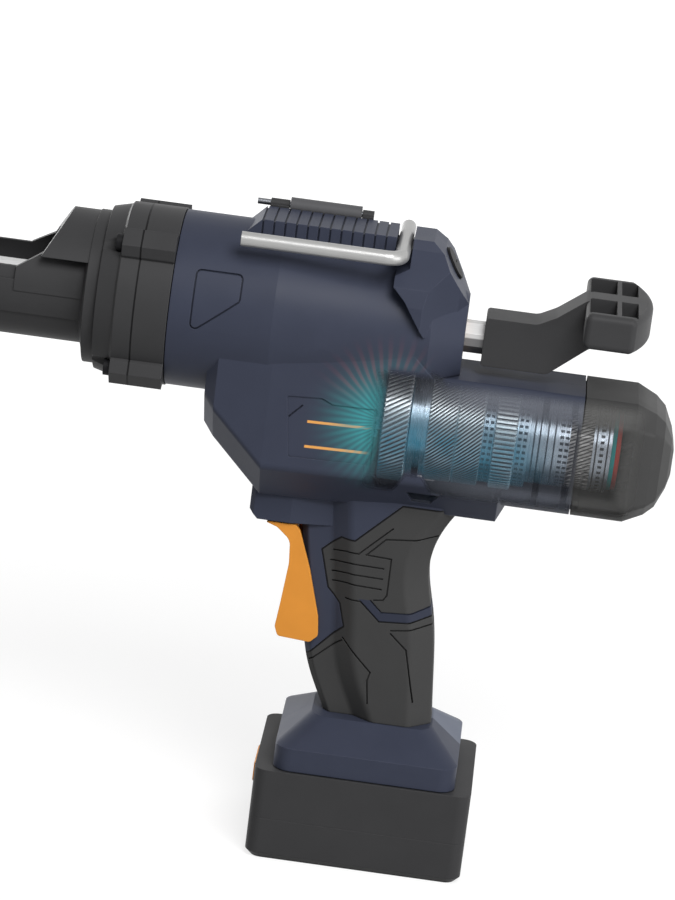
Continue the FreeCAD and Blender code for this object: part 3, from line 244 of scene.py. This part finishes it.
# Window over the drive: its limits over the motor axis, and its steps over the drum and the plate
WINDOW_TOP = 28.2
WINDOW_BOTTOM = -28
TOP_SOFTNESS = 5
BOTTOM_SOFTNESS = 6
DRUM_STEP = 5
DRUM_PART = (127, 119)
PLATE_STEP = 10
PLATE_PART = (107, 114)
HOUSING_FRONT = (91, 101)
HOUSING_BACK = (232, 214)
CAP_FRONT = (186, 189)
CAP_BACK = (220, 208)
NEAR_SIDE = (-3, -14)
WINDOW_SHARE = 0.97
EDGE_HAZE = (13, 24)
EDGE_HAZE_START = (112, 150)
EDGE_HAZE_SHARE = 0.38
REAR_HAZE = (204, 212)
REAR_HAZE_SHARE = 0.22


def see_through(made, haze, clear_share, front, back):
    """Window in the near side over the motor and its gears, hazy along its top and bottom."""
    over_drum = made.ramp(made.x, *DRUM_PART)
    over_plate = made.both(over_drum, made.ramp(made.x, *PLATE_PART))
    top = made.math("MULTIPLY_ADD", over_drum, DRUM_STEP, WINDOW_TOP)
    bottom = made.math("MULTIPLY_ADD", over_plate, PLATE_STEP, WINDOW_BOTTOM)
    window = made.both(
        made.ramp(made.x, *front),
        made.ramp(made.x, *back),
        made.ramp(made.math("SUBTRACT", top, made.height), 0, TOP_SOFTNESS),
        made.ramp(made.math("SUBTRACT", made.height, bottom), 0, BOTTOM_SOFTNESS),
        made.ramp(made.y, *NEAR_SIDE),
    )
    from_axis = made.math("ABSOLUTE", made.height)
    along_edges = made.both(made.ramp(from_axis, *EDGE_HAZE), made.ramp(made.x, *EDGE_HAZE_START))
    edge_haze = made.both(along_edges, EDGE_HAZE_SHARE)
    rear_haze = made.both(made.ramp(made.x, *REAR_HAZE), REAR_HAZE_SHARE)
    clear = made.add("ShaderNodeBsdfTransparent").outputs[0]
    frost = made.add("ShaderNodeBsdfDiffuse", (haze,)).outputs[0]
    hazy = made.math("ADD", made.either(edge_haze, rear_haze), 1 - clear_share)
    ghost = made.add("ShaderNodeMixShader", (hazy, clear, frost)).outputs[0]
    share = made.both(window, WINDOW_SHARE)
    made.surface = made.add("ShaderNodeMixShader", (share, made.surface, ghost)).outputs[0]
    return made


# Painted light on the drive: its borders over the motor axis, its rear end and its patches
LIGHT_TOP = (21, -3)
LIGHT_BOTTOM = (-30, -15)
LIGHT_END = (190, 150)
LIGHT_LEVEL = 0.2
PATCH_SIZE = 16
PATCH_DEPTH = 0.35


def lit_inside(made):
    """Painted blue-green light and glow on the gears, strongest below the axis, gone at the motor's
    rear.
    """
    low = made.both(made.ramp(made.height, *LIGHT_TOP), made.ramp(made.height, *LIGHT_BOTTOM))
    fall = made.ramp(made.x, *LIGHT_END)
    spread = made.ramp(made.noise(PATCH_SIZE, 2), 0.3, 0.7)
    patches = made.math("MULTIPLY_ADD", spread, PATCH_DEPTH, 1 - PATCH_DEPTH)
    share = made.both(low, fall, patches)
    # Painted light: blue-green in the base colour and a glow from the gears themselves.
    repaint(made, made.both(share, made.open_face), colour(8, 98, 122))
    made.set("Emission Color", colour(0, 125, 150))
    made.set("Emission Strength", made.both(share, made.open_face, LIGHT_LEVEL))
    return made


ROD_MARKS = (0.05, 1, 1)
TURNED_MARKS = (1, 0.05, 0.05)
ROD_LOWER_HALF = (1.2, 0.4)
ROD_SHADE = 0.9
NAVY = colour(54, 58, 72)
DARK = colour(56, 56, 57)
COLLAR_SPLIT = -15.5
SPLIT_HALF = 0.4
CELL_ENDS = (31.4, 31.8)

# Housing: badge stripes on the near half, painted light on the inside of the far one, the flat top of
# both
STRIPE = colour(222, 158, 84)
STRIPE_HEIGHTS = (-40, -51.6)
STRIPE_HALF = 0.6
STRIPE_START = (66.4, 66.9)
STRIPE_END = (97.5, 90)
BADGE_FACE = (-29, -31)
FAR_WALL = (TUBE_HALF - 1.2, TUBE_HALF - 2)
PALE_START = (100, 125)
PALE_TOP = (-17, -20)
FLAT_TOP_LOW = (25, 27.4)
FLAT_TOP_HIGH = (31, 29)
FLAT_TOP_START = (126, 134)
FLAT_TOP_DULLING = 0.65

# Painted glow rays: their centre behind the collar and over the motor axis, then where they show
GLOW_CENTRE = 103
GLOW_RISE = 7
GLOW_REACH = (44, 8)
GLOW_FRONT = (102, 98)
GLOW_TOP = (31, 35)
GLOW_TOP_START = (122, 108)
GLOW_FACE = (-20, -30)
GLOW_RAYS = 46
RAY_DEPTH = 0.22
RAY_WANDER = 6
WANDER_SIZE = 26
RED_TURN = (0.3, 0.8)
RED_START = (14, 26)
RED_SHARE = 0.42

# Grip: the overmould's edge, then the navy band's borders as slopes through a point
SKIN_EDGE = (
    (150, -78.4), (113.5, -78.4), (94, -97.7), (87.5, -97.7), (79, -106), (84, -124), (90.3, -130.3),
    (93.3, -140.5), (78.5, -156.8), (70, -162),
)
BAND_TOP = ((-0.93, 104.5, -125.5), (0.07, 110, -130.5), (0.26, 124.5, -129.5))
BAND_BOTTOM = ((-0.9, 100, -126.5), (0.07, 109.5, -135), (0.2, 123, -134))
BAND_CEILING = (-125.2, -125.5)
BAND_START = (99, 99.5)
BAND_SOFTNESS = 0.1
SEAM = (1.0, 0.6)

# Painted rings of the drive, behind the collar, and the slots of the motor core
CAN_STEEL = colour(150, 158, 168)
CAN_LINES = (168, 170.5, 174, 177.2, 196, 201.2)
CAN_LINE_HALF = 0.35
CAN_VENTS = (180.4, 182.8, 198.6)
CAN_VENT_HALF = 0.9
VENTS_ROUND = 44
BALL_ROWS = (146.2, 148.6, 161.6, 164)
BALL_HALF = 0.8
BALLS_ROUND = 48
RED_RING = 205
CORE_SLOTS = 72
CORE_SKEW = math.radians(16) / 10.5


def glow_rays(made):
    """Painted blue-green glow rays on the housing, forward and up from the drum, with a few red ones
    above.
    """
    forward = made.math("SUBTRACT", GLOW_CENTRE, made.x)
    rise = made.math("SUBTRACT", made.height, GLOW_RISE)
    reach = made.math("SQRT", made.math("ADD", made.both(forward, forward), made.both(rise, rise)))
    angle = made.math("ARCTAN2", rise, forward)
    wander = made.math("MULTIPLY", made.noise(WANDER_SIZE, 1), RAY_WANDER)
    spokes = made.math("SINE", made.math("MULTIPLY_ADD", angle, GLOW_RAYS, wander))
    near = made.ramp(reach, *GLOW_REACH)
    over_drum = made.both(made.ramp(made.height, *GLOW_TOP), made.ramp(made.x, *GLOW_TOP_START))
    beside = made.either(made.ramp(made.x, *GLOW_FRONT), over_drum)
    fade = made.both(near, beside, made.ramp(made.y, *GLOW_FACE))
    streaks = made.math("MULTIPLY_ADD", spokes, RAY_DEPTH, 1 - RAY_DEPTH)
    # Painted light: blue-green glow rays on the housing, and red ones above them.
    repaint(made, made.both(fade, near, streaks), colour(62, 146, 150))
    upward = made.ramp(angle, *RED_TURN)
    red_rays = made.both(upward, made.ramp(reach, *RED_START), made.ramp(spokes, -0.5, 1))
    repaint(made, made.both(red_rays, fade, RED_SHARE), colour(150, 52, 62))
    return made


def dull_top(made):
    """Less sheen on the flat top of the motor tube and its cap, which mirrors the white backdrop."""
    level = made.both(made.ramp(made.height, *FLAT_TOP_LOW), made.ramp(made.height, *FLAT_TOP_HIGH))
    top = made.both(level, made.ramp(made.x, *FLAT_TOP_START))
    gloss = made.math("MULTIPLY_ADD", top, -FLAT_TOP_DULLING * PLASTIC_GLOSS, PLASTIC_GLOSS)
    made.set("Specular IOR Level", gloss)
    return made


def navy_left():
    """Near housing half: badge stripes, painted glow rays, then the window."""
    made = moulded("navy_left", NAVY, 0.42)
    face = made.ramp(made.y, *BADGE_FACE)
    reach = made.both(made.ramp(made.x, *STRIPE_START), made.ramp(made.x, *STRIPE_END))
    lines = [made.between(made.z, z - STRIPE_HALF, z + STRIPE_HALF) for z in STRIPE_HEIGHTS]
    stripes = made.either(*lines)
    repaint(made, made.both(face, reach, stripes), STRIPE)
    dull_top(made)
    return see_through(glow_rays(made), colour(122, 126, 136), 0.93, HOUSING_FRONT, HOUSING_BACK)


def navy_right():
    """Far housing half, with painted light on its inside where the window shows it."""
    made = moulded("navy_right", NAVY, 0.42)
    # Painted light: the inside is lighter than the navy where the window shows it.
    inside = made.both(made.ramp(made.y, *FAR_WALL), made.ramp(made.x, *PALE_START))
    repaint(made, made.both(inside, made.ramp(made.z, *PALE_TOP)), colour(96, 102, 116))
    return dull_top(made)


def grip_rubber():
    """Soft overmould with the navy band across the palm and a dark seam along its edge."""
    made = moulded("soft_grip", colour(60, 60, 60), 0.62, 0.4, 0.03)
    upper = made.either(*[made.line(*border) for border in BAND_TOP])
    lower = made.either(*[made.line(*border) for border in BAND_BOTTOM])
    below = made.ramp(made.math("SUBTRACT", upper, made.z), -BAND_SOFTNESS, BAND_SOFTNESS)
    above = made.ramp(made.math("SUBTRACT", made.z, lower), -BAND_SOFTNESS, BAND_SOFTNESS)
    band = made.both(below, above, made.ramp(made.z, *BAND_CEILING), made.ramp(made.x, *BAND_START))
    repaint(made, band, tone(NAVY, 0.8))
    repaint(made, made.ramp(made.off_line(SKIN_EDGE), *SEAM), colour(16, 16, 18))
    return made


def brush_set():
    """Teal and red insulating rings behind the motor."""
    made = moulded("brush_set", colour(40, 150, 150), 0.4)
    repaint(made, made.ramp(made.x, RED_RING - 0.1, RED_RING + 0.1), colour(190, 70, 60))
    return made


def motor_can():
    """Motor bells, turned in steps with dark lines between them and rows of vent holes."""
    made = lit_inside(metal("motor_can", CAN_STEEL, 0.28, 0.8, TURNED_MARKS))
    lines = made.bands(CAN_LINES, CAN_LINE_HALF)
    vents = made.both(made.spots(VENTS_ROUND), made.bands(CAN_VENTS, CAN_VENT_HALF))
    repaint(made, made.either(lines, vents), colour(34, 38, 44))
    return made


def bearing_rows():
    """Spacers round the first stage, each with two rows of dark balls."""
    made = lit_inside(metal("bearing_rows", CAN_STEEL, 0.28, 0.8, TURNED_MARKS))
    balls = made.both(made.spots(BALLS_ROUND), made.bands(BALL_ROWS, BALL_HALF))
    repaint(made, balls, colour(30, 36, 44))
    return made


def laminations():
    """Motor core with skewed slots, dark between its ribs."""
    made = metal("laminations", colour(150, 150, 150), 0.4, 0.5)
    angle = made.math("MULTIPLY_ADD", made.x, CORE_SKEW, made.math("ARCTAN2", made.height, made.y))
    gaps = made.math("SINE", made.math("MULTIPLY", angle, CORE_SLOTS))
    repaint(made, made.ramp(gaps, 0, 0.5), colour(44, 45, 47))
    return made


def board_green():
    """Circuit board with a fine pattern of tracks."""
    made = moulded("board", colour(28, 80, 58), 0.4)
    tracks = made.math("SINE", made.math("MULTIPLY", made.y, 3.4))
    patches = made.ramp(made.noise(5, 1), 0.5, 0.52)
    repaint(made, made.both(made.ramp(tracks, 0.7, 0.8), patches), colour(60, 120, 90))
    return made


def push_rod_steel():
    """Bright drawn bar, with painted shade on its lower half."""
    made = metal("rod_steel", colour(206, 206, 206), 0.38, 0.25, ROD_MARKS)
    # Painted shade: the colour goes darker along the lower half of the bar.
    repaint(made, made.both(made.ramp(made.z, *ROD_LOWER_HALF), ROD_SHADE), colour(84, 84, 86))
    return made


def cell_wrap():
    """Shrink sleeve of the cells, bare metal at their ends."""
    made = moulded("cell_wrap", colour(70, 96, 140), 0.35)
    ends = made.ramp(made.math("ABSOLUTE", made.y), *CELL_ENDS)
    repaint(made, ends, colour(180, 182, 184))
    return made


dark = moulded("dark_plastic", DARK, 0.48)
repaint(dark, dark.bands((COLLAR_SPLIT,), SPLIT_HALF), colour(16, 16, 17))
black = moulded("black_plastic", colour(26, 26, 28), 0.5)
lever_grey = moulded("lever_plastic", colour(82, 82, 84), 0.45)
orange = moulded("orange_plastic", colour(214, 141, 58), 0.42)
near_housing = navy_left()
far_housing = navy_right()
rubber = grip_rubber()
rod_steel = push_rod_steel()
hook_steel = metal("hook_steel", colour(162, 162, 161), 0.36, 0.5, ROD_MARKS)
dark_steel = metal("dark_steel", colour(110, 112, 116), 0.36)
gear_steel = lit_inside(metal("gear_steel", colour(196, 202, 206), 0.3, 0.6))
can_steel = lit_inside(metal("can_steel", CAN_STEEL, 0.28, 0.8, TURNED_MARKS))
bronze = metal("bronze", colour(176, 130, 80), 0.38)
cap = dull_top(moulded("cap_plastic", colour(60, 60, 60), 0.46))
see_through(cap, colour(112, 112, 111), 0.9, CAP_FRONT, CAP_BACK)

FINISHES = {
    "housing_left": near_housing, "housing_right": far_housing,
    "grip_overmould_left": rubber, "grip_overmould_right": rubber,
    "collar_ring": dark, "cartridge_cradle": dark, "collar_screws": black,
    "swivel_flange": dark_steel, "push_rod": rod_steel,
    "plunger_disc": dark_steel, "plunger_screw": dark_steel,
    "pull_handle": dark, "handle_pin": dark_steel, "rod_bushes": bronze, "shaft_bushes": bronze,
    "hang_hook": hook_steel, "lever_bracket": dark, "release_lever": lever_grey,
    "speed_dial": black, "dial_potentiometer": black,
    "trigger": orange, "hinge_pins": dark_steel, "trigger_switch": black, "switch_plunger": black,
    "control_board": board_green(), "motor_end_cap": cap,
    "motor_bells": motor_can(), "gearbox_plate": can_steel, "gearbox_spacers": bearing_rows(),
    "stator_stack": laminations(), "brush_rings": brush_set(), "cooling_fan": dark,
    "battery_top": dark, "battery_tray": dark, "battery_button": orange, "battery_cells": cell_wrap(),
    "housing_screws": dark_steel,
}
CREASE_ANGLE = math.radians(28)
for finish in set(FINISHES.values()) | {gear_steel}:
    finish.end()
for name, obj in nodes.items():
    obj.data.materials.clear()
    obj.data.materials.append(FINISHES.get(name, gear_steel).material)
    for face in obj.data.polygons:
        face.use_smooth = True
    creases = obj.modifiers.new("creases", "EDGE_SPLIT")
    creases.split_angle = CREASE_ANGLE


# Sleeves of the drive, with finer ribs than the frame's

RIB_HEIGHT = 1.2
RIB_END_HEIGHT = 0.1
RIB_PROFILE = ((0, 0), (0.14, 1), (0.6, 1), (0.74, 0))
RIB_FADE = 0.4
SLEEVE_STEPS = 8
BORE_POINTS = 64
GEAR_MODULE = 0.75
RING_TEETH = 48
TOOTH_TIP = 0.8
TOOTH_ROOT = 1.15
TOOTH_PLAY = 0.12
TOOTH_LEAN = math.tan(math.radians(20))


def ribbed_outline(radius, ribs, turn, height):
    """Points round a sleeve's outside, across it and over its axis."""
    points = []
    for k in range(ribs):
        for share, rise in RIB_PROFILE:
            angle = 2 * math.pi * (k + share) / ribs + turn
            reach = radius + rise * height
            points.append((reach * math.cos(angle), reach * math.sin(angle)))
    return points


def round_outline(radius):
    """Points round a plain bore."""
    angles = [2 * math.pi * k / BORE_POINTS for k in range(BORE_POINTS)]
    return [(radius * math.cos(angle), radius * math.sin(angle)) for angle in angles]


def toothed_outline():
    """Inward teeth of a ring gear."""
    points = []
    corners = ((-1, -TOOTH_ROOT), (-1, TOOTH_TIP), (1, TOOTH_TIP), (1, -TOOTH_ROOT))
    for k in range(RING_TEETH):
        for side, rise in corners:
            reach = GEAR_MODULE * (RING_TEETH / 2 - rise)
            half = GEAR_MODULE * (math.pi / 4 - TOOTH_PLAY - rise * TOOTH_LEAN)
            angle = 2 * math.pi * k / RING_TEETH + side * half / reach
            points.append((reach * math.cos(angle), reach * math.sin(angle)))
    return points


def sleeve(node, body, radius, ribs, lean, inside):
    """Sleeve in place of a node, with leaning ribs. Inside lists the bore's outlines, front to back."""
    mesh = bmesh.new()

    def ring(x, outline):
        return [mesh.verts.new(place(x, y, MOTOR_AXIS + z)) for y, z in outline]

    def join(first, second):
        for k in range(len(first)):
            mesh.faces.new((first[k - 1], first[k], second[k], second[k - 1]))

    start, end = inside[0][0], inside[-1][0]
    places = [start + (end - start) * k / SLEEVE_STEPS for k in range(SLEEVE_STEPS + 1)]
    places.insert(1, start + RIB_FADE)
    places.insert(len(places) - 1, end - RIB_FADE)
    outer = []
    for x in places:
        height = RIB_END_HEIGHT if x in (start, end) else RIB_HEIGHT
        turn = math.tan(math.radians(lean)) * (start - x) / radius
        outer.append(ring(x, ribbed_outline(radius, ribs, turn, height)))
    inner = [ring(x, outline) for x, outline in inside]
    for rings in (outer, inner):
        for first, second in zip(rings, rings[1:]):
            join(first, second)
    for borders in ((outer[0], inner[0]), (outer[-1], inner[-1])):
        edges = []
        for border in borders:
            edges += [mesh.edges.get((border[k - 1], border[k])) for k in range(len(border))]
        bmesh.ops.triangle_fill(mesh, edges=edges, use_beauty=True)
    bmesh.ops.recalc_face_normals(mesh, faces=mesh.faces)
    data = bpy.data.meshes.new(node + "_ribs")
    mesh.to_mesh(data)
    mesh.free()
    data.materials.append(gear_steel.material)
    piece = bpy.data.objects.new(node + "_ribs", data)
    scene.collection.objects.link(piece)
    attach(piece, body)
    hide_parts(node)


# Sleeves from front to back, with the places where their bores change
DRUM_RADIUS = 26
DRUM_RIBS = 72
DRUM_LEAN = 32
GEAR_RADIUS = 23.5
GEAR_RIBS = 80
GEAR_LEAN = 42
STAGE_ONE_RIBS = 70
DRUM_FRONT = 99.6
DRUM_WEB = 104
DRUM_BACK = 111.5
BEARING_FRONT = 120
BEARING_STEP = 128
STAGE_TWO = 133
STAGE_TWO_BACK = 145
STAGE_ONE = 150
STAGE_ONE_BACK = 160

drum_hollow = round_outline(20)
drum_hub = round_outline(5)
bearing_seat = round_outline(11)
bearing_room = round_outline(17)
teeth = toothed_outline()
sleeve("clutch_drum", "output", DRUM_RADIUS, DRUM_RIBS, DRUM_LEAN, [
    (DRUM_FRONT, drum_hollow), (DRUM_WEB, drum_hollow), (DRUM_WEB, drum_hub), (DRUM_BACK, drum_hub)])
sleeve("bearing_carrier", "tool", GEAR_RADIUS, GEAR_RIBS, GEAR_LEAN, [
    (BEARING_FRONT, bearing_seat), (BEARING_STEP, bearing_seat),
    (BEARING_STEP, bearing_room), (STAGE_TWO, bearing_room)])
sleeve("ring_gear_2", "tool", GEAR_RADIUS, GEAR_RIBS, GEAR_LEAN, [
    (STAGE_TWO, teeth), (STAGE_TWO_BACK, teeth)])
sleeve("ring_gear_1", "tool", GEAR_RADIUS, STAGE_ONE_RIBS, 0, [
    (STAGE_ONE, teeth), (STAGE_ONE_BACK, teeth)])


# Floor, light and camera

FLOOR_SIZE = 30
PAPER_GREY = 0.33
PAPER_GLOW = 0.73
PAPER_RISE = 0.25
PAPER_SPREAD = (300, 1600)
SKY_LIGHT = 0.26
SKY_SEEN = 1.0


def white_to_camera(tree):
    """1 for rays from the camera, and for those that metal or clear pieces pass on."""
    paths = tree.nodes.new("ShaderNodeLightPath")
    share = paths.outputs["Is Camera Ray"]
    for name in ("Is Glossy Ray", "Is Transmission Ray"):
        larger = tree.nodes.new("ShaderNodeMath")
        larger.operation = "MAXIMUM"
        tree.links.new(share, larger.inputs[0])
        tree.links.new(paths.outputs[name], larger.inputs[1])
        share = larger.outputs[0]
    return share


def dress_floor():
    """Pale paper that takes the shadow and reads as white from the camera."""
    bpy.ops.mesh.primitive_plane_add(size=FLOOR_SIZE)
    floor = bpy.context.object
    floor.name = "floor"
    paper = Finish("floor_paper", 1.0)
    paper.set("Base Color", (PAPER_GREY, PAPER_GREY, PAPER_GREY, 1))
    paper.set("Specular IOR Level", 0.0)
    paper.set("Emission Color", (1, 1, 1, 1))
    across, along = paper.both(paper.x, paper.x), paper.both(paper.y, paper.y)
    distance = paper.math("SQRT", paper.math("ADD", across, along))
    level = paper.math("MULTIPLY_ADD", paper.ramp(distance, *PAPER_SPREAD), PAPER_RISE, PAPER_GLOW)
    paper.set("Emission Strength", paper.both(white_to_camera(paper.tree), level))
    floor.data.materials.append(paper.end())


def dress_world():
    """Even soft light, white where the camera or a mirror sees it."""
    world = bpy.data.worlds.new("studio")
    scene.world = world
    world.use_nodes = True
    tree = world.node_tree
    level = tree.nodes.new("ShaderNodeMapRange")
    tree.links.new(white_to_camera(tree), level.inputs["Value"])
    level.inputs["To Min"].default_value = SKY_LIGHT
    level.inputs["To Max"].default_value = SKY_SEEN
    sky = tree.nodes["Background"].inputs
    sky["Color"].default_value = (1, 1, 1, 1)
    tree.links.new(level.outputs["Result"], sky["Strength"])


def lamp(name, at, size, power):
    """Area lamp that points at the target, in metres and watts."""
    data = bpy.data.lights.new(name, "AREA")
    data.shape = "RECTANGLE"
    data.size, data.size_y = size
    data.energy = power
    obj = bpy.data.objects.new(name, data)
    scene.collection.objects.link(obj)
    obj.location = at
    obj.rotation_euler = (TARGET - Vector(at)).to_track_quat("-Z", "Y").to_euler()


TARGET = place(80.4, 0, -61.6)
dress_floor()
dress_world()
lamp("key", (0.45, -1.25, 1.5), (0.9, 0.9), 31)
lamp("fill", (1.4, -0.9, 0.5), (1.0, 1.0), 13)
lamp("back", (-1.3, 1.2, 0.45), (0.8, 0.8), 22)


# Camera fitted to the photo, with its focal length and height in the photo's pixels
AZIMUTH = math.radians(2)
ELEVATION = math.radians(16.76)
ROLL = math.radians(7.18)
CAMERA_DISTANCE = 1.8
FOCAL_PIXELS = 3953
PHOTO_HEIGHT = 900
SENSOR = 36
NEAR_CLIP = 0.05


def set_camera():
    """Camera from the near side, a little above the tool and rolled as in the photo."""
    reach = math.cos(ELEVATION)
    back = Vector((math.sin(AZIMUTH) * reach, -math.cos(AZIMUTH) * reach, math.sin(ELEVATION)))
    level = Vector((math.cos(AZIMUTH), math.sin(AZIMUTH), 0))
    upward = back.cross(level)
    right = level * math.cos(ROLL) + upward * math.sin(ROLL)
    up = upward * math.cos(ROLL) - level * math.sin(ROLL)
    lens = bpy.data.cameras.new("camera")
    lens.sensor_width = SENSOR
    lens.lens = FOCAL_PIXELS * SENSOR / PHOTO_HEIGHT
    lens.clip_start = NEAR_CLIP
    camera = bpy.data.objects.new("camera", lens)
    scene.collection.objects.link(camera)
    turn = Matrix((right, up, back)).transposed().to_4x4()
    camera.matrix_world = Matrix.Translation(TARGET + back * CAMERA_DISTANCE) @ turn
    scene.camera = camera


set_camera()
scene.view_settings.view_transform = "Standard"
